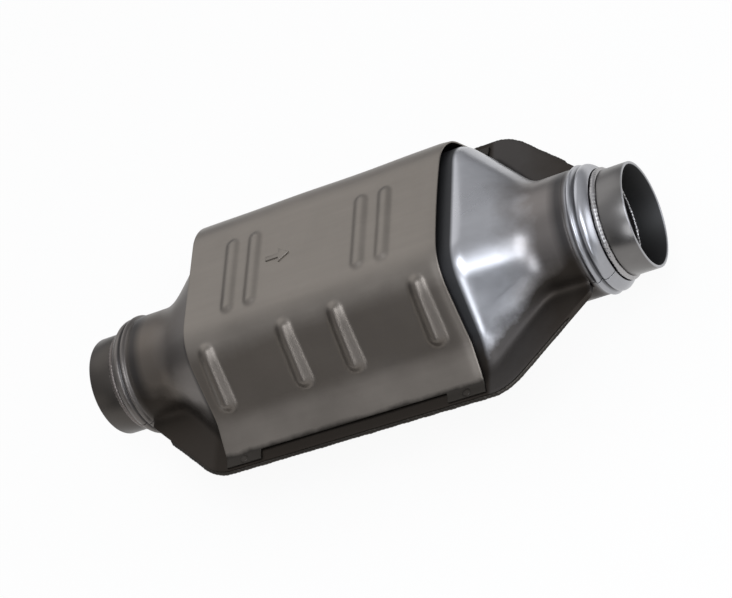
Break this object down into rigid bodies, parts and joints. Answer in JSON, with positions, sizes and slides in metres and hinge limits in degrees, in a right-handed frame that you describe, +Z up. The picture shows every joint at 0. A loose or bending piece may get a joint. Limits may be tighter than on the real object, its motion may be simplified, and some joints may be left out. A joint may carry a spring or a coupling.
{
  "type": "catalytic converter",
  "caption": "Clamshell catalytic converter: two stamped half shells with tapered ends, a round pipe stub at each end and ribbed heat shields.",
  "frame": {"origin": "on the ground under the middle of the object, where it lies on its lower heat shield", "axes": "+X along the pipes towards the outlet, +Z up, square to the seam between the two half shells"},
  "size_m": [0.334, 0.172, 0.1015],
  "materials": {
    "shell_steel": "satin stamped stainless sheet",
    "shield_steel": "dull stamped stainless sheet",
    "pipe_steel": "satin tube",
    "weld_metal": "weld bead",
    "ceramic": "coated ceramic honeycomb, matt",
    "mat_fibre": "ceramic fibre mat",
    "ring_steel": "plain steel"
  },
  "bodies": {
    "root": {"upper_shell": "shell_steel", "lower_shell": "shell_steel", "near_seam_weld": "weld_metal", "far_seam_weld": "weld_metal", "upper_heat_shield": "shield_steel", "lower_heat_shield": "shield_steel", "upper_spot_welds": "weld_metal", "lower_spot_welds": "weld_metal", "inlet_pipe": "pipe_steel", "outlet_pipe": "pipe_steel", "inlet_neck_weld": "weld_metal", "outlet_neck_weld": "weld_metal", "front_brick": "ceramic", "rear_brick": "ceramic", "front_mat": "mat_fibre", "rear_mat": "mat_fibre", "spacer_ring": "ring_steel", "front_end_ring": "ring_steel", "rear_end_ring": "ring_steel"}
  },
  "joints": []
}
